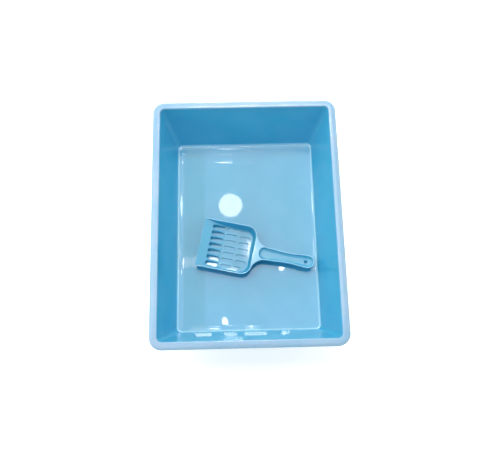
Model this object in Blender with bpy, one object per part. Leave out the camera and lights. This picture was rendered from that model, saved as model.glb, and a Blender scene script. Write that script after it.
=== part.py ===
"""A low litter tray with a slotted scoop lying in it, in metres, +Z up.

The tray stands on z = 0 with its middle over the origin. +X is to the right and +Y to the far end.
The scoop's own frame has its origin under the middle of the pan, +X from the lip to the handle.
"""

import math

import bmesh
import bpy

# Tray: its box, its lip and its walls
TRAY_WIDTH = 0.370
TRAY_LENGTH = 0.495
TRAY_HEIGHT = 0.131
LIP_WIDTH = 0.0143
LIP_FLAT = 0.005
LIP_DROP = 0.0046
SKIRT_DEPTH = 0.012
LIP_EDGE_RADIUS = 0.002
WALL_THICKNESS = 0.0022
FLOOR_THICKNESS = 0.0024
SIDE_WALL_SPREAD = 0.0250
END_WALL_SPREAD = 0.0304
WALL_CORNER_RADIUS = 0.0085
FLOOR_FILLET_RADIUS = 0.008

# Rim under the tray that it stands on
FOOT_HEIGHT = 0.002
FOOT_WIDTH = 0.005
FOOT_SETBACK = 0.001

# Scoop: its pan
SCOOP_LENGTH = 0.240
PAN_LENGTH = 0.1145
PAN_WIDTH = 0.105
PAN_DEPTH = 0.022
PAN_WALL = 0.002
PAN_FLOOR = 0.0022
PAN_WALL_SPREAD = 0.0042
PAN_BACK_RADIUS = 0.021
PAN_FRONT_RADIUS = 0.003
PAN_FILLET_RADIUS = 0.0015
RAMP_LENGTH = 0.046

# Slots in the pan's floor: the last number of each share goes to the column by the handle
SLOT_ROWS = 7
SLOT_COLUMN_SHARES = (0.345, 0.34, 0.315)
SLOT_RIB = 0.004
SLOT_CORNER_RADIUS = 0.004
SLOT_SIDE_MARGIN = 0.0013
SLOT_BACK_MARGIN = 0.006
SLOT_LIP = 0.0187

# Scoop: its neck and handle
HANDLE_WIDTH = 0.0268
HANDLE_WAIST = 0.0222
HANDLE_DEPTH = 0.0085
HANDLE_WALL = 0.002
HANDLE_FLOOR = 0.0025
HANDLE_END_RADIUS = 0.0125
NECK_RADIUS = 0.030
RECESS_SETBACK = 0.010
RECESS_DISH_WIDTH = 0.0065
RECESS_DISH_DEPTH = 0.0042
HANG_HOLE_DIAMETER = 0.007
HANG_HOLE_SETBACK = 0.0168

# How the scoop lies in the tray
SCOOP_CLEARANCE = 0.0003
SCOOP_TURN_DEGREES = -12.5
SCOOP_SETBACK = 0.0304
SCOOP_RIGHT_GAP_SHARE = 0.194

# Fineness of the curves, and the lengths that the modelling itself needs
CORNER_STEPS = 8
FILLET_STEPS = 5
LIP_STEPS = 6
DISH_STEPS = 5
SLOT_CORNER_STEPS = 4
HANDLE_STEPS = 14
HOLE_SIDES = 28
CUT_OVERRUN = 0.003
SMALLEST_RADIUS = 0.0004
WELD_DISTANCE = 0.000001
SMOOTH_ANGLE = math.radians(35)
QUARTER_TURN = math.radians(90)


# Outlines and lofts

def arc(centre, radius, start, sweep, steps):
    """Points along an arc in degrees, both ends included."""
    angles = [math.radians(start + sweep * step / steps) for step in range(steps + 1)]
    return [(centre[0] + radius * math.cos(a), centre[1] + radius * math.sin(a)) for a in angles]


def rounded_outline(left, right, half, left_radius, right_radius, steps=CORNER_STEPS):
    """A rectangle's outline from its right side round, with one radius for each end's two corners."""
    right_x = right - right_radius
    left_x = left + left_radius
    points = arc((right_x, half - right_radius), right_radius, 0, 90, steps)
    points += arc((left_x, half - left_radius), left_radius, 90, 90, steps)
    points += arc((left_x, left_radius - half), left_radius, 180, 90, steps)
    points += arc((right_x, right_radius - half), right_radius, 270, 90, steps)
    return points


def both_sides(upper):
    """A closed outline from its upper half, read from one end to the other."""
    return upper + [(x, -y) for x, y in reversed(upper)]


def loft(mesh, rings):
    """Add a closed body through rings of points, each with its height, to a bmesh."""
    loops = [[mesh.verts.new((x, y, height)) for x, y in outline] for outline, height in rings]
    for lower, upper in zip(loops, loops[1:]):
        for index in range(len(lower)):
            following = (index + 1) % len(lower)
            mesh.faces.new((lower[index], lower[following], upper[following], upper[index]))
    mesh.faces.new(list(reversed(loops[0])))
    mesh.faces.new(loops[-1])


def prism(mesh, outline, bottom, top):
    """Add an upright body with one outline."""
    loft(mesh, [(outline, bottom), (outline, top)])


def make_object(name, mesh):
    """Turn a bmesh into an object of the scene."""
    bmesh.ops.remove_doubles(mesh, verts=mesh.verts, dist=WELD_DISTANCE)
    bmesh.ops.recalc_face_normals(mesh, faces=mesh.faces)
    data = bpy.data.meshes.new(name)
    mesh.to_mesh(data)
    mesh.free()
    body = bpy.data.objects.new(name, data)
    bpy.context.scene.collection.objects.link(body)
    return body


def combine(body, operation, name, mesh):
    """Cut a body with a bmesh, or join them."""
    tool = make_object(name, mesh)
    modifier = body.modifiers.new(name, "BOOLEAN")
    modifier.operation = operation
    modifier.object = tool
    bpy.context.view_layer.objects.active = body
    bpy.ops.object.modifier_apply(modifier=modifier.name)
    bpy.data.objects.remove(tool, do_unlink=True)
    weld(body)


def weld(body):
    """Join the vertices that a cut leaves at one point."""
    mesh = bmesh.new()
    mesh.from_mesh(body.data)
    bmesh.ops.remove_doubles(mesh, verts=mesh.verts, dist=WELD_DISTANCE)
    mesh.to_mesh(body.data)
    mesh.free()


def dress(body, material):
    """Shade a finished body smooth up to its sharp edges, and give it its plastic."""
    body.data.shade_smooth()
    body.data.set_sharp_from_angle(angle=SMOOTH_ANGLE)
    body.data.materials.clear()
    body.data.materials.append(material)


def plastic(name, colour, roughness):
    """A plain moulded plastic."""
    material = bpy.data.materials.new(name)
    material.use_nodes = True
    shader = material.node_tree.nodes["Principled BSDF"]
    shader.inputs["Base Color"].default_value = (*colour, 1)
    shader.inputs["Roughness"].default_value = roughness
    shader.inputs["Metallic"].default_value = 0
    return material


# Walls that lean outwards over a filleted floor, of the tray and of the pan

def fillet_width(run, rise, fillet):
    """How much of the floor a fillet takes up, from the line where the wall's plane meets it."""
    return fillet * math.tan((QUARTER_TURN - math.atan2(run, rise)) / 2)


def wall_offset(height, run, rise, fillet):
    """Plan distance from the line where a wall's plane meets the floor to its face at a height."""
    if height >= fillet * (1 - math.sin(math.atan2(run, rise))):
        return height * run / rise
    return math.sqrt(fillet ** 2 - (fillet - height) ** 2) - fillet_width(run, rise, fillet)


def fillet_heights(run, rise, fillet):
    """Heights of the rings up a fillet, at equal steps of its angle."""
    sweep = QUARTER_TURN - math.atan2(run, rise)
    return [fillet * (1 - math.cos(sweep * step / FILLET_STEPS)) for step in range(FILLET_STEPS + 1)]


# Tray

def tray_floor_top():
    return FOOT_HEIGHT + FLOOR_THICKNESS


def wall_rise():
    """Height of the inner walls, from the floor's level to the rounding of the lip's inner edge."""
    return TRAY_HEIGHT - LIP_EDGE_RADIUS - tray_floor_top()


def tray_ring(offset_x, offset_y, radius, height):
    """A ring round the tray, at offsets outwards from the inner edge of its lip."""
    half_x = TRAY_WIDTH / 2 - LIP_WIDTH + offset_x
    half_y = TRAY_LENGTH / 2 - LIP_WIDTH + offset_y
    radius = max(radius, SMALLEST_RADIUS)
    return rounded_outline(-half_x, half_x, half_y, radius, radius), height


def wall_feet(thickness, base):
    """Offsets of the lines where a face of the side and of the end walls meets the plane at a height."""
    feet = []
    for spread in (SIDE_WALL_SPREAD, END_WALL_SPREAD):
        lean = math.atan2(spread, wall_rise())
        drop = tray_floor_top() - base
        feet.append(thickness / math.cos(lean) - drop * math.tan(lean) - spread)
    return feet


def tray_wall_rings(thickness, base, top):
    """Rings of a face of the walls, up from the flat floor: the inner face has no thickness."""
    rise = wall_rise()
    fillet = FLOOR_FILLET_RADIUS + thickness
    foot_x, foot_y = wall_feet(thickness, base)
    rings = []
    for height in fillet_heights(SIDE_WALL_SPREAD, rise, fillet) + [top - base]:
        side = wall_offset(height, SIDE_WALL_SPREAD, rise, fillet)
        end = wall_offset(height, END_WALL_SPREAD, rise, fillet)
        cut_in = height * SIDE_WALL_SPREAD / rise - side
        radius = WALL_CORNER_RADIUS + thickness - cut_in
        rings.append(tray_ring(foot_x + side, foot_y + end, radius, base + height))
    return rings


def foot_rings():
    """Rings of the rim that the tray stands on, from the recessed underside out."""
    fillet = FLOOR_FILLET_RADIUS + WALL_THICKNESS
    foot_x, foot_y = wall_feet(WALL_THICKNESS, FOOT_HEIGHT)
    outer_x = foot_x - fillet_width(SIDE_WALL_SPREAD, wall_rise(), fillet) - FOOT_SETBACK
    outer_y = foot_y - fillet_width(END_WALL_SPREAD, wall_rise(), fillet) - FOOT_SETBACK
    outer = (outer_x, outer_y, SMALLEST_RADIUS)
    inner = (outer_x - FOOT_WIDTH, outer_y - FOOT_WIDTH, SMALLEST_RADIUS)
    return [
        tray_ring(*inner, FOOT_HEIGHT),
        tray_ring(*inner, 0),
        tray_ring(*outer, 0),
        tray_ring(*outer, FOOT_HEIGHT),
    ]


def lip_rings():
    """Rings over the lip: under it, down and round its skirt, then over the top to the inner edge."""
    curve_height = TRAY_HEIGHT - LIP_DROP
    skirt_bottom = TRAY_HEIGHT - SKIRT_DEPTH
    across = LIP_WIDTH - LIP_FLAT
    section = []
    for step in range(LIP_STEPS + 1):
        angle = QUARTER_TURN * (1 - step / LIP_STEPS)
        out = LIP_FLAT + (across - WALL_THICKNESS) * math.cos(angle)
        section.append((out, curve_height + (LIP_DROP - WALL_THICKNESS) * math.sin(angle)))
    section.append((LIP_WIDTH - WALL_THICKNESS, skirt_bottom))
    section.append((LIP_WIDTH, skirt_bottom))
    for step in range(LIP_STEPS + 1):
        angle = QUARTER_TURN * step / LIP_STEPS
        section.append((LIP_FLAT + across * math.cos(angle), curve_height + LIP_DROP * math.sin(angle)))
    for step in range(FILLET_STEPS):
        angle = QUARTER_TURN * step / FILLET_STEPS
        out = LIP_EDGE_RADIUS * (1 - math.sin(angle))
        section.append((out, TRAY_HEIGHT - LIP_EDGE_RADIUS * (1 - math.cos(angle))))
    return [tray_ring(out, out, WALL_CORNER_RADIUS + out, height) for out, height in section]


def build_tray():
    """The tray in one moulding: foot rim, outer walls, lip, inner walls and floor."""
    outer = tray_wall_rings(WALL_THICKNESS, FOOT_HEIGHT, TRAY_HEIGHT - WALL_THICKNESS)
    inner = tray_wall_rings(0, tray_floor_top(), TRAY_HEIGHT - LIP_EDGE_RADIUS)
    mesh = bmesh.new()
    loft(mesh, foot_rings() + outer + lip_rings() + inner[::-1])
    tray = make_object("tray", mesh)
    dress(tray, plastic("tray_plastic", (0.075, 0.392, 0.665), 0.22))


# Scoop

def pan_front():
    return -PAN_LENGTH / 2


def pan_back():
    return PAN_LENGTH / 2


def handle_tip():
    return SCOOP_LENGTH - PAN_LENGTH / 2


def pan_inner_foot():
    """Plan distance from the pan's outer rim in to the line where its inner wall meets the floor."""
    lean = math.atan2(PAN_WALL_SPREAD, PAN_DEPTH)
    return PAN_WALL_SPREAD + PAN_WALL / math.cos(lean) - PAN_FLOOR * math.tan(lean)


def pan_floor_inset():
    """Plan distance from the pan's outer rim in to the edge of the flat inner floor."""
    return pan_inner_foot() + fillet_width(PAN_WALL_SPREAD, PAN_DEPTH, PAN_FILLET_RADIUS)


def pan_rings(foot, fillet, base, top, front):
    """Rings up a face of the pan, whose wall's plane meets the floor's at a distance in from the rim."""
    rings = []
    for height in fillet_heights(PAN_WALL_SPREAD, PAN_DEPTH, fillet) + [top - base]:
        inset = foot - wall_offset(height, PAN_WALL_SPREAD, PAN_DEPTH, fillet)
        half = PAN_WIDTH / 2 - inset
        back_radius = max(PAN_BACK_RADIUS - inset, SMALLEST_RADIUS)
        outline = rounded_outline(front, pan_back() - inset, half, PAN_FRONT_RADIUS, back_radius)
        rings.append((outline, base + height))
    return rings


def cut_ramp(mesh, depth):
    """Take away what lies under the sloping front of the pan, at a depth below its upper face."""
    slope = math.atan2(PAN_DEPTH - PAN_FLOOR, RAMP_LENGTH)
    normal = (math.sin(slope), 0, math.cos(slope))
    point = (pan_front() - depth * normal[0], 0, PAN_DEPTH - depth * normal[2])
    everything = mesh.verts[:] + mesh.edges[:] + mesh.faces[:]
    result = bmesh.ops.bisect_plane(
        mesh, geom=everything, plane_co=point, plane_no=normal, dist=WELD_DISTANCE, clear_inner=True
    )
    edges = [item for item in result["geom_cut"] if isinstance(item, bmesh.types.BMEdge)]
    bmesh.ops.contextual_create(mesh, geom=edges)


def pan_blank():
    """The outside of the pan, as a full block."""
    mesh = bmesh.new()
    fillet = PAN_FILLET_RADIUS + PAN_WALL
    loft(mesh, pan_rings(PAN_WALL_SPREAD, fillet, 0, PAN_DEPTH, pan_front()))
    cut_ramp(mesh, PAN_FLOOR)
    return mesh


def pan_cavity():
    """The space inside the pan, open past the rim and the lip."""
    mesh = bmesh.new()
    front = pan_front() - PAN_FRONT_RADIUS - CUT_OVERRUN
    top = PAN_DEPTH + CUT_OVERRUN
    loft(mesh, pan_rings(pan_inner_foot(), PAN_FILLET_RADIUS, PAN_FLOOR, top, front))
    cut_ramp(mesh, 0)
    return mesh


def slot_columns():
    """Where each column of slots starts and ends along the pan, in its straight rows."""
    start = pan_front() + SLOT_LIP
    end = pan_back() - pan_floor_inset() - SLOT_BACK_MARGIN
    slotted = end - start - SLOT_RIB * (len(SLOT_COLUMN_SHARES) - 1)
    columns = []
    for share in SLOT_COLUMN_SHARES:
        length = slotted * share / sum(SLOT_COLUMN_SHARES)
        columns.append((start, start + length))
        start += length + SLOT_RIB
    return columns


def slot_rows():
    """The lower edge of each row of slots, and the width that they all have."""
    half = PAN_WIDTH / 2 - pan_floor_inset() - SLOT_SIDE_MARGIN
    width = (2 * half - SLOT_RIB * (SLOT_ROWS - 1)) / SLOT_ROWS
    return [row * (width + SLOT_RIB) - half for row in range(SLOT_ROWS)], width


def slot_limit(farthest):
    """How far back a slot may reach when its edge is this far from the pan's middle line."""
    radius = PAN_BACK_RADIUS - pan_floor_inset()
    beyond = max(farthest - (PAN_WIDTH / 2 - PAN_BACK_RADIUS), 0)
    reach = math.sqrt(max(radius ** 2 - beyond ** 2, 0))
    return pan_back() - PAN_BACK_RADIUS + reach - SLOT_BACK_MARGIN


def slot_cutters():
    """Upright cutters for the slots, whose outer rows stop short of the pan's round corners."""
    mesh = bmesh.new()
    rows, width = slot_rows()
    radius = min(SLOT_CORNER_RADIUS, width / 2)
    for lower in rows:
        middle = lower + width / 2
        limit = slot_limit(abs(middle) + width / 2)
        for start, end in slot_columns():
            outline = rounded_outline(start, min(end, limit), width / 2, radius, radius, SLOT_CORNER_STEPS)
            moved = [(x, y + middle) for x, y in outline]
            prism(mesh, moved, -CUT_OVERRUN, PAN_DEPTH + CUT_OVERRUN)
    return mesh


def neck_centre():
    """Centre of the neck's hollow curve, which meets the pan's round corner and the handle's side."""
    y = HANDLE_WIDTH / 2 + NECK_RADIUS
    corner_y = PAN_WIDTH / 2 - PAN_BACK_RADIUS
    if y <= corner_y:
        return pan_back() + NECK_RADIUS, y
    reach = (NECK_RADIUS + PAN_BACK_RADIUS) ** 2 - (y - corner_y) ** 2
    return pan_back() - PAN_BACK_RADIUS + math.sqrt(reach), y


def handle_half_width(x):
    """Half the handle's width at a place along it: full at both ends, narrow at the waist."""
    start = neck_centre()[0]
    end = handle_tip() - HANDLE_END_RADIUS
    share = min(max((x - start) / (end - start), 0), 1)
    swell = (1 + math.cos(4 * QUARTER_TURN * share)) / 2
    return (HANDLE_WAIST + (HANDLE_WIDTH - HANDLE_WAIST) * swell) / 2


def handle_side(start, inset):
    """Points along the upper side of the handle and round its end, moved in by an inset."""
    end = handle_tip() - HANDLE_END_RADIUS
    places = [start + (end - start) * step / HANDLE_STEPS for step in range(HANDLE_STEPS)]
    points = [(x, handle_half_width(x) - inset) for x in places]
    corner = (end, HANDLE_WIDTH / 2 - HANDLE_END_RADIUS)
    return points + arc(corner, HANDLE_END_RADIUS - inset, 90, -90, CORNER_STEPS)


def handle_blank():
    """The neck and handle as a full bar, its root inside the pan."""
    centre = neck_centre()
    corner_x = pan_back() - PAN_BACK_RADIUS
    corner_y = min(PAN_WIDTH / 2 - PAN_BACK_RADIUS, centre[1])
    start = math.degrees(math.atan2(corner_y - centre[1], corner_x - centre[0])) % 360
    neck = arc(centre, NECK_RADIUS, start, 270 - start, CORNER_STEPS)
    upper = [(corner_x, neck[0][1])] + neck[:-1] + handle_side(centre[0], 0)
    mesh = bmesh.new()
    prism(mesh, both_sides(upper), PAN_DEPTH - HANDLE_DEPTH, PAN_DEPTH)
    return mesh


def recess_start():
    return pan_back() + RECESS_SETBACK


def recess_outline(inset):
    """The outline of the handle's hollow, moved in from its rim by an inset."""
    radius = HANDLE_WIDTH / 2 - HANDLE_WALL
    middle = recess_start() + radius
    neck_end = arc((middle, 0), radius - inset, 180, -90, CORNER_STEPS)[1:-1]
    upper = neck_end + handle_side(middle, HANDLE_WALL + inset)
    return [(middle - radius + inset, 0)] + upper + [(x, -y) for x, y in reversed(upper)]


def handle_recess():
    """The long dished hollow in the top of the handle, round at the neck."""
    floor = PAN_DEPTH - HANDLE_DEPTH + HANDLE_FLOOR
    rings = []
    for step in range(DISH_STEPS + 1):
        angle = QUARTER_TURN * step / DISH_STEPS
        inset = RECESS_DISH_WIDTH * (1 - math.sin(angle))
        rings.append((recess_outline(inset), floor + RECESS_DISH_DEPTH * (1 - math.cos(angle))))
    rings.append((recess_outline(0), PAN_DEPTH + CUT_OVERRUN))
    mesh = bmesh.new()
    loft(mesh, rings)
    return mesh


def neck_pocket():
    """The hollow under the neck, which leaves its top and sides one wall thick."""
    centre = neck_centre()
    radius = NECK_RADIUS + HANDLE_WALL
    end = recess_start() - HANDLE_WALL
    angles = [360 - math.degrees(math.acos((x - centre[0]) / radius)) for x in (pan_back(), end)]
    upper = arc(centre, radius, angles[0], angles[1] - angles[0], CORNER_STEPS)
    mesh = bmesh.new()
    bottom = PAN_DEPTH - HANDLE_DEPTH - CUT_OVERRUN
    prism(mesh, both_sides(upper), bottom, PAN_DEPTH - HANDLE_FLOOR)
    return mesh


def hang_hole():
    """The round hole near the end of the handle."""
    mesh = bmesh.new()
    centre = (handle_tip() - HANG_HOLE_SETBACK, 0)
    outline = arc(centre, HANG_HOLE_DIAMETER / 2, 0, 360, HOLE_SIDES)[:-1]
    bottom = PAN_DEPTH - HANDLE_DEPTH
    prism(mesh, outline, bottom - CUT_OVERRUN, bottom + HANDLE_FLOOR + CUT_OVERRUN)
    return mesh


def place_scoop(scoop):
    """Lay the scoop on the tray's floor, with part of the free room between its handle and the wall."""
    turn = math.radians(SCOOP_TURN_DEGREES)
    floor_half = TRAY_WIDTH / 2 - LIP_WIDTH - SIDE_WALL_SPREAD
    ahead = handle_tip() * math.cos(turn)
    behind = PAN_LENGTH / 2 * math.cos(turn) + PAN_WIDTH / 2 * abs(math.sin(turn))
    room = 2 * floor_half - ahead - behind
    x = floor_half - SCOOP_RIGHT_GAP_SHARE * room - ahead
    scoop.location = (x, -SCOOP_SETBACK, tray_floor_top() + SCOOP_CLEARANCE)
    scoop.rotation_euler = (0, 0, turn)


def build_scoop():
    """The scoop in one moulding: slotted pan, neck and channelled handle."""
    scoop = make_object("scoop", pan_blank())
    combine(scoop, "UNION", "handle_blank", handle_blank())
    combine(scoop, "DIFFERENCE", "pan_cavity", pan_cavity())
    combine(scoop, "DIFFERENCE", "slot_cutters", slot_cutters())
    combine(scoop, "DIFFERENCE", "handle_recess", handle_recess())
    combine(scoop, "DIFFERENCE", "neck_pocket", neck_pocket())
    combine(scoop, "DIFFERENCE", "hang_hole", hang_hole())
    dress(scoop, plastic("scoop_plastic", (0.085, 0.410, 0.680), 0.20))
    place_scoop(scoop)


def clear_scene():
    for item in list(bpy.data.objects):
        bpy.data.objects.remove(item, do_unlink=True)


clear_scene()
build_tray()
build_scoop()
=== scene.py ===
"""A low litter tray with its slotted scoop lying in it, dressed and lit. Metres, +Z up."""

import math

import bmesh
import bpy
from mathutils import Matrix, Vector


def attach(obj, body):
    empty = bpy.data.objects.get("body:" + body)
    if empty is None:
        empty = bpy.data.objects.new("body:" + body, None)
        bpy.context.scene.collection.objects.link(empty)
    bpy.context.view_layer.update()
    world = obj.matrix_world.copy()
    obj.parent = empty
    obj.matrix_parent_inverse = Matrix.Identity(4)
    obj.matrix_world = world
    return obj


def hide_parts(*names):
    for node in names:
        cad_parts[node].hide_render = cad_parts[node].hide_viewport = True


# Tray
TRAY_WIDTH = 0.370
TRAY_LENGTH = 0.495
TRAY_TOP = 0.131
SKIRT_BOTTOM = 0.119
SKIRT_ROUND = 0.0008
LIP_WIDTH = 0.0143
LIP_FLAT = 0.005
LIP_DROP = 0.0046
LIP_EDGE = 0.002
LIP_CORNER = 0.0228
SKIN = 0.0022
FLOOR_TOP = 0.0044
SIDE_SPREAD = 0.0250
END_SPREAD = 0.0304
WALL_FILLET = 0.0011

# Foot of the walls, from the middle of the tray
SIDE_FOOT = TRAY_WIDTH / 2 - LIP_WIDTH - SIDE_SPREAD
END_FOOT = TRAY_LENGTH / 2 - LIP_WIDTH - END_SPREAD

# Rim that the tray stands on
RIM_SETBACK = 0.0076
RIM_WIDTH = 0.005
RIM_CORNER = 0.0085
RIM_ROOT = 0.003
RIM_ROUND = 0.0006

# Border of the tray's floor: its rise at places inwards from the feet of the side, far and near walls
FLOOR_BORDER = (
    (0.0014, 0, 0, 0),
    (0.001, 0.0016, 0.0017, 0.0016),
    (0.0008, 0.003, 0.0032, 0.0022),
    (0.000615, 0.005, 0.005, 0.005),
    (0.00043, 0.0076, 0.007, 0.0071),
    (0.000376, 0.0085, 0.008, 0.0077),
    (0.00036, 0.0088, 0.0083, 0.0079),
    (0.00029, 0.0102, 0.0098, 0.0087),
    (0.00019, 0.0126, 0.0123, 0.0098),
    (0.00016, 0.0135, 0.0131, 0.0102),
    (0.00008, 0.017, 0.016, 0.0112),
    (0.00002, 0.021, 0.019, 0.0124),
    (0, 0.025, 0.022, 0.014),
)

# Scoop, in its own frame: +X from the lip to the handle, the pan's middle over the origin
PAN_FRONT = -0.05725
PAN_BACK = 0.05725
PAN_HALF = 0.0525
PAN_TOP = 0.022
PAN_SKIN = 0.0022
PAN_RIM = 0.00204
PAN_SPREAD = 0.0042
PAN_CORNER = 0.021
PAN_FILLET = 0.0029
HOLLOW_FILLET = 0.004
HOLLOW_REACH = 0.006
FRONT_ROUND = 0.002
FRONT_STRIP = 0.003
RAMP_LENGTH = 0.046
SLOT_RIB = 0.004
SLOT_ROWS = 7
SLOT_SIDE = 0.0441
SLOT_START = -0.03855
SLOT_END = 0.0442
SLOT_SHARES = (0.345, 0.34, 0.315)
SLOT_ROUND = 0.004
SLOT_BORDER = 0.00706
SLOT_BACK_BORDER = 0.006
BAR_START = 0.044
BAR_ROUND = 0.0015
HANDLE_TIP = 0.18275
HANDLE_HALF = 0.0134
HANDLE_WAIST = 0.0111
HANDLE_ROUND = 0.0125
HANDLE_BOTTOM = 0.0135
HANDLE_SKIN = 0.002
RECESS_START = 0.06725
RECESS_FLOOR = 0.016
DISH_WIDTH = 0.0062
DISH_HEIGHT = 0.0042
DISH_FLAT = 0.0001
NECK_ROUND = 0.030
HOLE_PLACE = 0.16595
HOLE_ROUND = 0.0035
HOLE_HEIGHT = 0.014
HOLE_DEPTH = 0.02
EDGE_ROUND = 0.0003
EDGE_ANGLE = math.radians(33)
SCOOP_PLACE = (-0.041589, -0.0304, 0.0047)
SCOOP_TURN = math.radians(-12.5)

# Colours of the plastic, and of the light painted on it
PLASTIC = (0.062, 0.418, 0.63)
CLOUDED = (0.080, 0.437, 0.65)
# Paler colours of the tray's lip and the scoop's top faces: a painted sheen, which stands in for the
# brighter light on the tops
LIP_PAINTED_SHEEN = (0.33, 0.51, 0.70)
SCOOP_PAINTED_SHEEN = (0.21, 0.55, 0.76)
# Pale colour at the foot of the tray's walls: a painted highlight, which stands in for the glint along the
# floor's crease
FOOT_HIGHLIGHT_COLOUR = (0.34, 0.68, 0.84)

# Skin of the plastic: heights of its bumps, and how close together they are
TRAY_WAVE = 0.00001
TRAY_CLOSENESS = 55
SCOOP_WAVE = 0.0002
SCOOP_CLOSENESS = 95
WALL_WAVE = 0.0004
WALL_CLOSENESS = 24
WALL_BAND = (0.008, 0.03)
GRAIN = 0.0000008
GRAIN_CLOSENESS = 420
RUB = 0.0000015
RUB_WAYS = ((0.35, 900), (1.5, 700), (2.5, 1100))
RUB_LENGTH = 26
RUB_BAND = (0.69, 0.78)
RUB_PATCHES = 30
RUB_PATCH_BAND = (0.45, 0.7)

# Clouding, grime, the painted sheen on the tops with their wear, and the light that enters the plastic
CLOUD_CLOSENESS = 14
CLOUD_BAND = (0.3, 0.7)
GRIME_CLOSENESS = 90
GRIME_ROUGHNESS = 0.015
RUB_ROUGHNESS = 0.03
# Least strength of the painted sheen and wear on the tops, where there is no clouding
SHEEN_AND_WEAR_LEAST = 0.75
GLOW_SHARE = 0.3
GLOW_REACH = (0.15, 0.7, 1)
GLOW_DEPTH = 0.004

# Painted highlight, a pale line at the foot of the walls: where it starts and ends, from the foot outwards,
# and its height
FOOT_HIGHLIGHT_START = (-0.0028, -0.0012)
FOOT_HIGHLIGHT_END = (0.0007, 0.0014)
FOOT_HIGHLIGHT_HEIGHT = (0.0048, 0.0052)
FAR_HIGHLIGHT_RISE = 0.0007

# Studio
CEILING = 2.4
LAMP_DROP = 0.02
DOWN = (0, 0, -1)
PANEL_SIZE = (4, 0.9)
WHITE = (1, 1, 1)
PALE = (1, 0.96, 0.98)
WARM = (1, 0.95, 0.86)
AMBER = (1, 0.92, 0.62)
GROUND_RADIUS = 3
GROUND_FADE = (0.7, 1.6)
GROUND_GLOW = 0.45
GROUND_COLOUR = (0.9, 0.9, 0.9)

# Modelling
SLACK = 0.00001
OVER = 0.003
UPRIGHT = 0.5
ROUND_STEPS = 14
FILLET_STEPS = 6
CORNER_STEPS = 4
EDGE_STEPS = 3
DISH_STEPS = 9
HANDLE_STEPS = 26
HOLE_SIDES = 48
GROUND_SIDES = 96
ASIDE = 1
END_SHARE = 0.995
FLAT_ANGLE = math.radians(0.5)
SMOOTH_ANGLE = math.radians(40)
ORDER_PLACE = (0.31, 0.87, 0.53)


# Working on a piece

def corners(part):
    """The vertices of a vertex, an edge or a face."""
    return [part] if isinstance(part, bmesh.types.BMVert) else part.verts


def pick(kind, test):
    """Select the parts of the open piece that pass a test, and nothing else."""
    bpy.ops.mesh.select_mode(type=kind)
    bpy.ops.mesh.select_all(action="DESELECT")
    data = bpy.context.edit_object.data
    mesh = bmesh.from_edit_mesh(data)
    for part in {"VERT": mesh.verts, "EDGE": mesh.edges, "FACE": mesh.faces}[kind]:
        if test(part):
            part.select_set(True)
    mesh.select_flush_mode()
    bmesh.update_edit_mesh(data)


def level(height):
    """A test for parts that lie at one height."""
    return lambda part: all(abs(corner.co.z - height) < SLACK for corner in corners(part))


def outline(height):
    """A test for the edges round a flat face at one height."""
    here = level(height)
    return lambda edge: here(edge) and any(abs(face.normal.z) < UPRIGHT for face in edge.link_faces)


def move(x, y, z):
    bpy.ops.transform.translate(value=(x, y, z))


def pull(height):
    """Extrude what is selected straight up or down."""
    bpy.ops.mesh.extrude_region_move(TRANSFORM_OT_translate={"value": (0, 0, height)})


def round_edges(radius, steps):
    bpy.ops.mesh.bevel(offset=radius, segments=steps, affect="EDGES")


def round_points(radius, steps):
    bpy.ops.mesh.bevel(offset=radius, segments=steps, affect="VERTICES")


def open_new(name):
    """Name the primitive that was just added, and open it."""
    piece = bpy.context.object
    piece.name = name
    bpy.ops.object.mode_set(mode="EDIT")
    return piece


def open_again(piece):
    piece.select_set(True)
    bpy.context.view_layer.objects.active = piece
    bpy.ops.object.mode_set(mode="EDIT")


def close_piece():
    bpy.ops.object.mode_set(mode="OBJECT")
    bpy.ops.object.select_all(action="DESELECT")


def close_solid():
    """Turn the faces of the open piece outwards, and close it."""
    bpy.ops.mesh.select_all(action="SELECT")
    bpy.ops.mesh.normals_make_consistent(inside=False)
    close_piece()


def use_modifier(piece, kind, **settings):
    """Give a piece a modifier and apply it."""
    bpy.context.view_layer.objects.active = piece
    modifier = piece.modifiers.new(kind.lower(), kind)
    for name, value in settings.items():
        setattr(modifier, name, value)
    bpy.ops.object.modifier_apply(modifier=modifier.name)


def put_in_order(piece):
    """Sort a piece's parts by how far they are from one place, because a cut leaves them in any order."""
    bpy.context.scene.cursor.location = ORDER_PLACE
    open_again(piece)
    bpy.ops.mesh.select_all(action="SELECT")
    bpy.ops.mesh.sort_elements(type="CURSOR_DISTANCE", elements={"VERT", "EDGE", "FACE"})
    close_piece()
    bpy.context.scene.cursor.location = (0, 0, 0)


def combine(piece, tool, operation):
    """Cut a piece with another, or join them."""
    use_modifier(piece, "BOOLEAN", operation=operation, object=tool, solver="EXACT")
    bpy.data.objects.remove(tool, do_unlink=True)
    put_in_order(piece)


def shade_smooth(piece):
    """Shade a finished piece smooth up to its sharp edges, with its flat faces flat."""
    piece.select_set(True)
    bpy.context.view_layer.objects.active = piece
    bpy.ops.object.shade_smooth_by_angle(angle=SMOOTH_ANGLE)
    use_modifier(piece, "WEIGHTED_NORMAL", keep_sharp=True)
    piece.select_set(False)


def rounded_slab(name, left, right, half, radius, bottom, top, steps=ROUND_STEPS):
    """A slab with four rounded upright edges."""
    bpy.ops.mesh.primitive_plane_add(size=1)
    slab = open_new(name)
    bpy.ops.transform.resize(value=(right - left, 2 * half, 1))
    move((left + right) / 2, 0, bottom)
    round_points(radius, steps)
    bpy.ops.mesh.select_all(action="SELECT")
    pull(top - bottom)
    close_solid()
    return slab


# Tray

def lean_in(side, far, near, height):
    """Move each quarter of the ring at a height in towards the middle."""
    here = level(height)
    for x_way in (1, -1):
        for y_way in (1, -1):
            pick("VERT", lambda v: here(v) and v.co.x * x_way > 0 and v.co.y * y_way > 0)
            move(-x_way * side, -far if y_way == 1 else near, 0)


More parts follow.
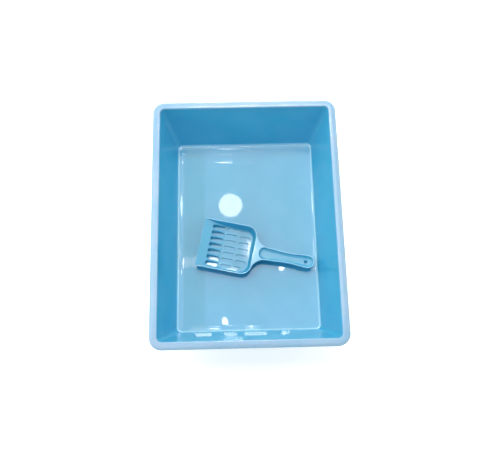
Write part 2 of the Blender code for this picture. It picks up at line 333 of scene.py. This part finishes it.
def standing_rim():
    """The rim under the floor that the tray stands on, with its top buried in the floor."""
    half_x, half_y = SIDE_FOOT - RIM_SETBACK, END_FOOT - RIM_SETBACK
    inner_x, inner_y = half_x - RIM_WIDTH, half_y - RIM_WIDTH
    rim = rounded_slab("foot_rim", -half_x, half_x, half_y, RIM_CORNER, 0, RIM_ROOT)
    inside = rounded_slab("rim_inside", -inner_x, inner_x, inner_y, RIM_CORNER, -OVER, RIM_ROOT + OVER)
    combine(rim, inside, "DIFFERENCE")
    return rim


def lip_section():
    """The lip's outline from the skirt over to the wall, as distances out from the wall and heights."""
    across = LIP_WIDTH - LIP_FLAT
    section = []
    for step in range(1, ROUND_STEPS + 1):
        angle = math.radians(90) * step / ROUND_STEPS
        section.append((LIP_FLAT + across * math.cos(angle), TRAY_TOP - LIP_DROP * (1 - math.sin(angle))))
    lean = math.atan2(SIDE_SPREAD, TRAY_TOP - FLOOR_TOP)
    for step in range(FILLET_STEPS + 1):
        angle = (math.radians(90) - lean) * step / FILLET_STEPS
        section.append((LIP_EDGE * (1 - math.sin(angle)), TRAY_TOP - LIP_EDGE * (1 - math.cos(angle))))
    return section


def build_tray():
    """One moulding, drawn from the skirt up over the lip and down the walls to the floor."""
    bpy.ops.mesh.primitive_plane_add(size=1)
    tray = open_new("tray_shell")
    bpy.ops.transform.resize(value=(TRAY_WIDTH, TRAY_LENGTH, 1))
    move(0, 0, SKIRT_BOTTOM)
    round_points(LIP_CORNER, ROUND_STEPS)
    bpy.ops.mesh.select_all(action="SELECT")
    pull(TRAY_TOP - LIP_DROP - SKIRT_BOTTOM)
    out, height = LIP_WIDTH, TRAY_TOP - LIP_DROP
    for next_out, next_height in lip_section():
        bpy.ops.mesh.inset(thickness=out - next_out, depth=next_height - height)
        out, height = next_out, next_height
    foot = FLOOR_TOP + FLOOR_BORDER[0][0]
    share = (TRAY_TOP - foot) / (TRAY_TOP - FLOOR_TOP)
    side, end = SIDE_SPREAD * share - out, END_SPREAD * share - out
    pull(foot - height)
    lean_in(side, end, end, foot)
    for (rise, *places), (next_rise, *next_places) in zip(FLOOR_BORDER, FLOOR_BORDER[1:]):
        pick("FACE", level(FLOOR_TOP + rise))
        pull(next_rise - rise)
        steps = [after - before for before, after in zip(places, next_places)]
        lean_in(*steps, FLOOR_TOP + next_rise)
    pick("EDGE", level(foot))
    round_edges(WALL_FILLET, FILLET_STEPS)
    pick("FACE", level(SKIRT_BOTTOM))
    bpy.ops.mesh.delete(type="FACE")
    close_piece()
    use_modifier(tray, "SOLIDIFY", thickness=SKIN, offset=-1, use_even_offset=True)
    combine(tray, standing_rim(), "UNION")
    open_again(tray)
    pick("EDGE", outline(0))
    round_edges(RIM_ROUND, EDGE_STEPS)
    pick("EDGE", level(SKIRT_BOTTOM))
    round_edges(SKIRT_ROUND, CORNER_STEPS)
    close_piece()
    shade_smooth(tray)
    return tray


# Scoop

def ramp_normal():
    slope = math.atan2(PAN_TOP - PAN_SKIN, RAMP_LENGTH)
    return Vector((math.sin(slope), 0, math.cos(slope)))


def pan_form(name, front, inset, bottom, top, corner, fillet, ramp_depth):
    """The outside or the inside of the pan as a block, with its ramp cut off below."""
    back, half = PAN_BACK - inset, PAN_HALF - inset
    spread = (top - bottom) * PAN_SPREAD / PAN_TOP
    bpy.ops.mesh.primitive_cube_add(size=1)
    block = open_new(name)
    bpy.ops.transform.resize(value=(back - front, 2 * half, top - bottom))
    move((front + back) / 2, 0, (bottom + top) / 2)
    low = level(bottom)
    pick("VERT", lambda v: low(v) and v.co.x > 0)
    move(-spread, 0, 0)
    for way in (1, -1):
        pick("VERT", lambda v: low(v) and v.co.y * way > 0)
        move(0, -way * spread, 0)

    def upright(edge):
        return abs(edge.verts[0].co.z - edge.verts[1].co.z) > (top - bottom) / 2

    pick("EDGE", lambda edge: upright(edge) and edge.verts[0].co.x > 0)
    round_edges(corner, ROUND_STEPS)
    pick("EDGE", lambda edge: upright(edge) and edge.verts[0].co.x < front + SLACK)
    round_edges(FRONT_ROUND, CORNER_STEPS)
    pick("EDGE", lambda edge: low(edge) and max(v.co.x for v in edge.verts) > front + FRONT_STRIP)
    round_edges(fillet, FILLET_STEPS)
    bpy.ops.mesh.select_all(action="SELECT")
    normal = ramp_normal()
    place = Vector((PAN_FRONT, 0, PAN_TOP)) - ramp_depth * normal
    bpy.ops.mesh.bisect(plane_co=place, plane_no=normal, use_fill=True, clear_inner=True)
    close_solid()
    return block


def neck_centre():
    """The middle of the arc that joins the pan's corner to the handle."""
    centre_y = HANDLE_HALF + NECK_ROUND
    corner_x, corner_y = PAN_BACK - PAN_CORNER, PAN_HALF - PAN_CORNER
    reach = math.sqrt((NECK_ROUND + PAN_CORNER) ** 2 - (centre_y - corner_y) ** 2)
    return corner_x + reach, centre_y


def neck_start():
    """Where the arc of the neck touches the arc of the pan's corner."""
    centre_x, centre_y = neck_centre()
    share = PAN_CORNER / (PAN_CORNER + NECK_ROUND)
    return PAN_BACK - PAN_CORNER + share * (centre_x - PAN_BACK + PAN_CORNER)


def half_width(x):
    """Half the width of the neck and handle at a place along it."""
    centre_x, centre_y = neck_centre()
    if x < centre_x:
        away = centre_x - max(x, neck_start())
        return centre_y - math.sqrt(NECK_ROUND ** 2 - away ** 2)
    share = min((x - centre_x) / (HANDLE_TIP - HANDLE_ROUND - centre_x), 1)
    swell = (1 + math.cos(math.radians(360) * share)) / 2
    return HANDLE_WAIST + (HANDLE_HALF - HANDLE_WAIST) * swell


def stations(first, last):
    """Places along the neck and handle, close together where the neck is steep."""
    centre_x = neck_centre()[0]
    steep = math.acos((centre_x - neck_start()) / NECK_ROUND)
    places = []
    for step in range(ROUND_STEPS):
        angle = steep + (math.radians(90) - steep) * step / ROUND_STEPS
        places.append(centre_x - NECK_ROUND * math.cos(angle))
    for step in range(HANDLE_STEPS + 1):
        places.append(centre_x + (HANDLE_TIP - HANDLE_ROUND - centre_x) * step / HANDLE_STEPS)
    between = [x for x in places if first + SLACK < x < last - SLACK]
    return [first, *between, last]


def strip_form(name, start, end, inset, start_round, end_round, bottom, top):
    """A bar that follows the handle's outline, moved in by an inset, with its ends rounded."""
    first, last = start + start_round, end - end_round
    places = stations(first, last)
    columns = len(places) - 1
    bpy.ops.mesh.primitive_grid_add(x_subdivisions=columns, y_subdivisions=1, size=1)
    bar = open_new(name)
    # the columns start to one side, so that none is taken for one already in its place
    move(-ASIDE, 0, bottom)
    for column, x in enumerate(places):
        column_x = column / columns - (0.5 + ASIDE)
        width = 2 * (half_width(x) - inset)
        pick("VERT", lambda v: abs(v.co.x - column_x) < SLACK)
        bpy.ops.transform.resize(value=(1, width, 1), center_override=(column_x, 0, bottom))
        move(x - column_x, 0, 0)
    for place, radius, way in ((first, start_round, -1), (last, end_round, 1)):
        if radius:
            pick("EDGE", lambda edge: all(abs(v.co.x - place) < SLACK for v in edge.verts))
            bpy.ops.mesh.extrude_region_move(TRANSFORM_OT_translate={"value": (way * radius, 0, 0)})
            pick("VERT", lambda v: abs(v.co.x - place - way * radius) < SLACK)
            # rounded a little short of the end's whole length, so that no two points meet
            round_points(radius * END_SHARE, ROUND_STEPS)
    bpy.ops.mesh.select_all(action="SELECT")
    pull(top - bottom)
    close_solid()
    return bar


def round_bottom(bar, bottom, width, steps, height=None):
    """Round a bar's lower outline over a width and, where it differs, a height."""
    open_again(bar)
    pick("EDGE", outline(bottom))
    round_edges(width, steps)
    if height:
        pick("VERT", lambda v: v.co.z < bottom + width + SLACK)
        bpy.ops.transform.resize(value=(1, 1, height / width), center_override=(0, 0, bottom))
    close_piece()
    return bar


def hollow_tool():
    """The cutter of the pan's inside, which reaches out past its top and front."""
    inset = PAN_RIM - OVER * PAN_SPREAD / PAN_TOP
    front, corner = PAN_FRONT - HOLLOW_REACH, PAN_CORNER - PAN_RIM
    return pan_form("hollow", front, inset, PAN_SKIN, PAN_TOP + OVER, corner, HOLLOW_FILLET, 0)


def slot_limit(edge_y):
    """How far back a slot may reach when its outer side is this far from the middle line."""
    radius = PAN_CORNER - SLOT_BORDER
    beyond = max(edge_y - (PAN_HALF - PAN_CORNER), 0)
    return PAN_BACK - PAN_CORNER + math.sqrt(max(radius ** 2 - beyond ** 2, 0)) - SLOT_BACK_BORDER


def slot_spans():
    """The start and end of each kind of slot, and the middles of the rows that it is in."""
    width = slot_width()
    slotted = SLOT_END - SLOT_START - SLOT_RIB * (len(SLOT_SHARES) - 1)
    spans = {}
    start = SLOT_START
    for share in SLOT_SHARES:
        length = slotted * share / sum(SLOT_SHARES)
        for row in range(SLOT_ROWS):
            middle = row * (width + SLOT_RIB) - SLOT_SIDE + width / 2
            end = min(start + length, slot_limit(abs(middle) + width / 2))
            spans.setdefault((round(start, 5), round(end, 5)), (start, end, []))[2].append(middle)
        start += length + SLOT_RIB
    return spans.values()


def slot_width():
    return (2 * SLOT_SIDE - SLOT_RIB * (SLOT_ROWS - 1)) / SLOT_ROWS


def slot_tools():
    """The cutters of all the slots in one piece."""
    top = PAN_TOP + OVER
    copies = []
    for start, end, middles in slot_spans():
        tool = rounded_slab("slot_tool", start, end, slot_width() / 2, SLOT_ROUND, -OVER, top, FILLET_STEPS)
        for middle in middles:
            twin = tool.copy()
            twin.data = tool.data.copy()
            twin.data.transform(Matrix.Translation((0, middle, 0)))
            bpy.context.scene.collection.objects.link(twin)
            copies.append(twin)
        bpy.data.objects.remove(tool, do_unlink=True)
    for twin in copies:
        twin.select_set(True)
    bpy.context.view_layer.objects.active = copies[0]
    bpy.ops.object.join()
    bpy.ops.object.select_all(action="DESELECT")
    return copies[0]


def dish_tool():
    """The cutter of the recess in the top of the handle."""
    end, top = HANDLE_TIP - HANDLE_SKIN, PAN_TOP + OVER
    start_round, end_round = HANDLE_HALF - HANDLE_SKIN - DISH_FLAT, HANDLE_ROUND - HANDLE_SKIN
    dish = strip_form("dish", RECESS_START, end, HANDLE_SKIN, start_round, end_round, RECESS_FLOOR, top)
    return round_bottom(dish, RECESS_FLOOR, DISH_WIDTH, DISH_STEPS, DISH_HEIGHT)


def pocket_tool():
    """The cutter of the hollow under the neck."""
    end, bottom, top = RECESS_START - HANDLE_SKIN, HANDLE_BOTTOM - OVER, PAN_TOP - HANDLE_SKIN
    return strip_form("pocket", PAN_BACK, end, HANDLE_SKIN, 0, 0, bottom, top)


def hole_tool():
    """The cutter of the hole that the scoop hangs by."""
    bpy.ops.mesh.primitive_cylinder_add(
        vertices=HOLE_SIDES, radius=HOLE_ROUND, depth=HOLE_DEPTH, location=(HOLE_PLACE, 0, HOLE_HEIGHT)
    )
    tool = bpy.context.object
    bpy.ops.object.transform_apply()
    bpy.ops.object.select_all(action="DESELECT")
    return tool


def build_scoop():
    """One moulding: a pan with a ramped lip and three columns of slots, a neck and a dished handle."""
    scoop = pan_form("scoop_moulding", PAN_FRONT, 0, 0, PAN_TOP, PAN_CORNER, PAN_FILLET, PAN_SKIN)
    bar = strip_form("bar", BAR_START, HANDLE_TIP, 0, 0, HANDLE_ROUND, HANDLE_BOTTOM, PAN_TOP)
    combine(scoop, round_bottom(bar, HANDLE_BOTTOM, BAR_ROUND, EDGE_STEPS), "UNION")
    for tool in (hollow_tool, slot_tools, dish_tool, pocket_tool, hole_tool):
        combine(scoop, tool(), "DIFFERENCE")
    open_again(scoop)
    bpy.ops.mesh.select_all(action="SELECT")
    bpy.ops.mesh.remove_doubles(threshold=2 * SLACK)
    bpy.ops.mesh.dissolve_limited(angle_limit=FLAT_ANGLE)
    close_piece()
    use_modifier(
        scoop, "BEVEL", width=EDGE_ROUND, segments=EDGE_STEPS, limit_method="ANGLE", angle_limit=EDGE_ANGLE,
        use_clamp_overlap=False, miter_outer="MITER_ARC"
    )
    shade_smooth(scoop)
    scoop.data.transform(Matrix.Translation(SCOOP_PLACE) @ Matrix.Rotation(SCOOP_TURN, 4, "Z"))
    return scoop


# Materials

class Wire:
    """A socket of a material, which takes part in sums as a number does."""

    def __init__(self, finish, socket):
        self.finish = finish
        self.socket = socket

    def __add__(self, other):
        return self.finish.maths("ADD", self, other)

    __radd__ = __add__

    def __mul__(self, other):
        return self.finish.maths("MULTIPLY", self, other)

    __rmul__ = __mul__

    def __sub__(self, other):
        return self.finish.maths("SUBTRACT", self, other)

    def __rsub__(self, other):
        return self.finish.maths("SUBTRACT", other, self)


class Finish:
    """A material, or the world, and the nodes that are made in it."""

    def __init__(self, owner):
        owner.use_nodes = True
        self.tree = owner.node_tree
        self.tree.nodes.clear()

    def add(self, kind, settings=None, inputs=None, output=0):
        """Make a node from its type, its settings and the values or links of its sockets."""
        node = self.tree.nodes.new(kind)
        for name, value in (settings or {}).items():
            setattr(node, name, value)
        for name, value in (inputs or {}).items():
            if isinstance(value, Wire):
                self.tree.links.new(value.socket, node.inputs[name])
            else:
                node.inputs[name].default_value = value
        return Wire(self, node.outputs[output]) if node.outputs else None

    def maths(self, operation, first, second=0):
        return self.add("ShaderNodeMath", {"operation": operation}, {0: first, 1: second})

    def place(self):
        return self.add("ShaderNodeTexCoord", None, None, "Object")

    def along(self, axis):
        """How far a point is along an axis of the piece."""
        return self.add("ShaderNodeSeparateXYZ", None, {0: self.place()}, axis)

    def noise(self, place, closeness, detail=2, roughness=0.5):
        inputs = {"Vector": place, "Scale": closeness, "Detail": detail, "Roughness": roughness}
        return self.add("ShaderNodeTexNoise", None, inputs)

    def stretch(self, place, scale, turn):
        inputs = {"Vector": place, "Scale": scale, "Rotation": (0, 0, turn)}
        return self.add("ShaderNodeMapping", {"vector_type": "POINT"}, inputs)

    def band(self, value, low, high):
        """0 below low and 1 above high, with a smooth step between."""
        inputs = {"Value": value, "From Min": low, "From Max": high}
        return self.add("ShaderNodeMapRange", {"interpolation_type": "SMOOTHSTEP"}, inputs)

    def blend(self, factor, first, second):
        """One colour where the factor is 0 and another where it is 1."""
        return self.add("ShaderNodeMix", {"data_type": "RGBA"}, {"Factor": factor, 6: first, 7: second}, 2)

    def seen(self):
        """1 for a ray that the camera sees, straight, mirrored or through glass, and 0 for the rest."""
        camera = self.add("ShaderNodeLightPath", None, None, "Is Camera Ray")
        outputs = camera.socket.node.outputs
        return camera + Wire(self, outputs["Is Glossy Ray"]) + Wire(self, outputs["Is Transmission Ray"])


def painted_foot_highlight(finish):
    """Mask of the painted highlight: 1 along the foot of the tray's walls, on the inside, and 0 elsewhere.
    """
    corner = LIP_CORNER - LIP_WIDTH
    x, y = finish.maths("ABSOLUTE", finish.along("X")), finish.along("Y")
    across = finish.maths("MAXIMUM", x - (SIDE_FOOT - corner))
    along = finish.maths("MAXIMUM", y - FAR_HIGHLIGHT_RISE, y * -1) - (END_FOOT - corner)
    along = finish.maths("MAXIMUM", along)
    past = finish.maths("SQRT", across * across + along * along) - corner
    within = finish.band(past, *FOOT_HIGHLIGHT_START) * (1 - finish.band(past, *FOOT_HIGHLIGHT_END))
    return within * finish.band(finish.along("Z"), *FOOT_HIGHLIGHT_HEIGHT)


def rub_lines(finish, place, turn):
    """Hairlines in three directions, in patches."""
    rubs = 0
    for angle, fineness in RUB_WAYS:
        stretched = finish.stretch(place, (fineness, RUB_LENGTH, RUB_LENGTH), turn + angle)
        rubs = rubs + finish.band(finish.noise(stretched, 1, detail=1), *RUB_BAND)
    return rubs * finish.band(finish.noise(place, RUB_PATCHES), *RUB_PATCH_BAND)


def moulded_plastic(name, sheen_colour, sheen_and_wear_band, roughness, scuff, closeness, wave, turn, foot_highlight):
    """Glossy moulded plastic: clouded, slightly wavy, with hairline rubs, tops paled by a painted sheen and
    roughened by wear, and on the tray a painted highlight at the foot of the walls.
    """
    material = bpy.data.materials.new(name)
    finish = Finish(material)
    place, height = finish.place(), finish.along("Z")
    clouds = finish.band(finish.noise(place, CLOUD_CLOSENESS, detail=3, roughness=0.55), *CLOUD_BAND)
    grime = finish.noise(place, GRIME_CLOSENESS, detail=3, roughness=0.6)
    rubs = rub_lines(finish, place, turn)
    # The tops: their paler colour is a painted sheen, and their added roughness is wear
    sheen_and_wear = finish.band(height, *sheen_and_wear_band) * (SHEEN_AND_WEAR_LEAST + (1 - SHEEN_AND_WEAR_LEAST) * clouds)
    walls = finish.band(height, *WALL_BAND)
    waves = finish.noise(place, closeness, detail=1, roughness=0.4) * wave
    wall_waves = finish.noise(place, WALL_CLOSENESS, detail=1, roughness=0.4) * (walls * WALL_WAVE)
    skin = waves + wall_waves + finish.noise(place, GRAIN_CLOSENESS) * GRAIN - rubs * RUB
    moulded = finish.blend(clouds, (*PLASTIC, 1), (*CLOUDED, 1))
    # Painted highlight along the foot of the walls
    if foot_highlight:
        moulded = finish.blend(painted_foot_highlight(finish), moulded, (*FOOT_HIGHLIGHT_COLOUR, 1))
    shader = finish.add("ShaderNodeBsdfPrincipled", None, {
        "Base Color": finish.blend(sheen_and_wear, moulded, (*sheen_colour, 1)),
        "Roughness": roughness + GRIME_ROUGHNESS * grime + RUB_ROUGHNESS * rubs + scuff * sheen_and_wear,
        "Normal": finish.add("ShaderNodeBump", None, {"Height": skin}),
        "IOR": 1.5,
        "Subsurface Weight": GLOW_SHARE,
        "Subsurface Radius": GLOW_REACH,
        "Subsurface Scale": GLOW_DEPTH,
    })
    finish.add("ShaderNodeOutputMaterial", None, {"Surface": shader})
    return material


# Studio

def build_floor():
    """A plain pale ground that fades into the white surround."""
    bpy.ops.mesh.primitive_circle_add(vertices=GROUND_SIDES, radius=GROUND_RADIUS, fill_type="NGON")
    ground = bpy.context.object
    ground.name = "ground"
    bpy.ops.object.select_all(action="DESELECT")
    material = bpy.data.materials.new("ground_white")
    finish = Finish(material)
    matt = finish.add("ShaderNodeBsdfDiffuse", None, {"Color": (*GROUND_COLOUR, 1)})
    strength = finish.seen() * GROUND_GLOW
    glow = finish.add("ShaderNodeEmission", None, {"Color": (*WHITE, 1), "Strength": strength})
    lit = finish.add("ShaderNodeAddShader", None, {0: matt, 1: glow})
    distance = finish.add("ShaderNodeVectorMath", {"operation": "LENGTH"}, {0: finish.place()}, "Value")
    clear = finish.add("ShaderNodeBsdfTransparent")
    fade = finish.band(distance, *GROUND_FADE)
    faded = finish.add("ShaderNodeMixShader", None, {0: fade, 1: lit, 2: clear})
    finish.add("ShaderNodeOutputMaterial", None, {"Surface": faded})
    ground.data.materials.append(material)


def build_surround():
    """A white surround that is seen and mirrored, and gives no light of its own."""
    world = bpy.data.worlds.new("surround")
    bpy.context.scene.world = world
    finish = Finish(world)
    inputs = {"Color": (*WHITE, 1), "Strength": finish.seen()}
    finish.add("ShaderNodeOutputWorld", None, {"Surface": finish.add("ShaderNodeBackground", None, inputs)})


def soft_light(name, place, facing, size, radiance, tint=WHITE, shape="RECTANGLE"):
    """An area light as bright as its radiance says, whatever its size."""
    lamp = bpy.data.lights.new(name, "AREA")
    lamp.shape = shape
    lamp.size, lamp.size_y = size
    lamp.color = tint
    fill = 1 if shape == "RECTANGLE" else math.pi / 4
    lamp.energy = radiance * math.pi * lamp.size * lamp.size_y * fill
    light = bpy.data.objects.new(name, lamp)
    bpy.context.scene.collection.objects.link(light)
    light.location = place
    light.rotation_euler = Vector(facing).to_track_quat("-Z", "Y").to_euler()
    light.visible_camera = False


def build_panels():
    """Soft panels overhead and on four sides."""
    for name, left, right, near, far, radiance, tint in (
        ("middle", -0.235, 0.255, 0.06, 1.25, 3.8, PALE),
        ("middle_far", -0.235, 0.255, 1.25, 1.6, 1.6, WHITE),
        ("inner_left", -0.44, -0.235, 0.06, 1.6, 3.1, AMBER),
        ("inner_right", 0.255, 0.44, 0.06, 1.6, 3.5, WARM),
        ("left_strip", -0.9, -0.44, 0.06, 1.6, 1.4, WHITE),
        ("right_strip", 0.44, 0.9, 0.06, 1.6, 2.8, WHITE),
        ("left_mid", -1.6, -0.9, 0.06, 1.25, 1.9, WHITE),
        ("left_out", -2.4, -1.6, 0.06, 1.25, 4.6, WHITE),
        ("right_out", 1.6, 2.4, 0.06, 1.25, 1.6, WHITE),
        ("far_over", -0.44, 0.44, 1.6, 3, 2.4, WHITE),
        ("near_left", -0.9, -0.235, -1.6, -0.3, 1.6, WHITE),
        ("near_right", 0.255, 0.9, -1.6, -0.3, 1.2, WHITE),
    ):
        place = ((left + right) / 2, (near + far) / 2, CEILING)
        soft_light(name, place, DOWN, (right - left, far - near), radiance, tint)
    for name, place, facing, radiance in (
        ("left_panel", (-2.2, 0.3, 1.05), (1, 0, 0), 3.8),
        ("right_panel", (2.2, 0.3, 1.35), (-1, 0, 0), 2.65),
        ("near_panel", (0, -2.4, 1.35), (0, 1, 0), 2.2),
        ("far_panel", (0, 3.2, 1.35), (0, -1, 0), 4.75),
    ):
        soft_light(name, place, facing, PANEL_SIZE, radiance)


def build_lamps():
    """The small lamps that glint in the plastic."""
    for name, x, y, width, length, radiance, tint in (
        ("lamp", -0.0732, 0.8235, 0.145, 0.152, 13, WHITE),
        ("lamp_over_pan", 0.04, 0.53, 0.02, 0.11, 28, WHITE),
        ("lamp_over_pan_glass", 0.042, 0.53, 0.09, 0.15, 4, WHITE),
        ("lamp_by_handle", 0.2296, 0.4143, 0.035, 0.024, 30, WHITE),
        ("lamp_by_lip", -0.185, 0.46, 0.078, 0.065, 17, WHITE),
        ("lamp_by_lip_glass", -0.28, 0.465, 0.1, 0.075, 3, WHITE),
        ("lamp_by_corner", -0.079, 0.405, 0.077, 0.03, 20, WHITE),
        ("lamp_near", -0.118, 0.097, 0.033, 0.052, 30, WHITE),
        ("lamp_right", 0.425, 0.0237, 0.02, 0.02, 40, WHITE),
        ("tube", -0.107, 1.112, 0.109, 0.0055, 36, WHITE),
        ("tube_end", 0.0607, 1.1094, 0.02, 0.0055, 36, WHITE),
        ("far_lamp_1", -0.269, 1.25, 0.11, 0.16, 44, WARM),
        ("far_lamp_2", -0.093, 1.25, 0.09, 0.16, 36, WARM),
        ("far_lamp_3", 0.07, 1.25, 0.155, 0.16, 48, WARM),
        ("far_lamp_4", 0.264, 1.25, 0.055, 0.16, 44, WARM),
        ("far_lamp_5", 0.48, 1.25, 0.04, 0.12, 44, WARM),
    ):
        place = (x, y, CEILING - LAMP_DROP)
        soft_light(name, place, DOWN, (width, length), radiance, tint, "ELLIPSE")


def build_camera():
    """The photograph's viewpoint."""
    data = bpy.data.cameras.new("camera")
    data.sensor_width = 36
    data.lens = 43.75
    camera = bpy.data.objects.new("camera", data)
    camera.location = (-0.012656, -0.333157, 1.253467)
    camera.rotation_euler = (0.2760978628, -0.0089847175, -0.0249920431)
    bpy.context.scene.collection.objects.link(camera)
    bpy.context.scene.camera = camera


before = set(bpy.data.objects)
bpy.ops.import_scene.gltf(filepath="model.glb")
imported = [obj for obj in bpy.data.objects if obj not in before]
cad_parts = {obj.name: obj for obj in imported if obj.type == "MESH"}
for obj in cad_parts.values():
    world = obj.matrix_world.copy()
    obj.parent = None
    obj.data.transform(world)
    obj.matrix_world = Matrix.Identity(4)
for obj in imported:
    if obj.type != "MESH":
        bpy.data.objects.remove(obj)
bpy.ops.object.select_all(action="DESELECT")
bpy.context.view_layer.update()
bpy.context.scene.view_settings.view_transform = "Standard"
build_camera()

tray = build_tray()
tray.data.materials.clear()
# The tray's lip is paled by a painted sheen, and a painted highlight runs along the foot of its walls
tray.data.materials.append(moulded_plastic(
    "tray_plastic", LIP_PAINTED_SHEEN, sheen_and_wear_band=(0.1262, 0.1302), roughness=0.02, scuff=0.10,
    closeness=TRAY_CLOSENESS, wave=TRAY_WAVE, turn=0, foot_highlight=True
))
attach(tray, "tray")
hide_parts("tray")

scoop = build_scoop()
scoop.data.materials.clear()
# The scoop's top faces are paled by a painted sheen
scoop.data.materials.append(moulded_plastic(
    "scoop_plastic", SCOOP_PAINTED_SHEEN, sheen_and_wear_band=(0.0262, 0.0266), roughness=0.03, scuff=0.02,
    closeness=SCOOP_CLOSENESS, wave=SCOOP_WAVE, turn=SCOOP_TURN, foot_highlight=False
))
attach(scoop, "scoop")
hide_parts("scoop")

build_floor()
build_surround()
build_panels()
build_lamps()
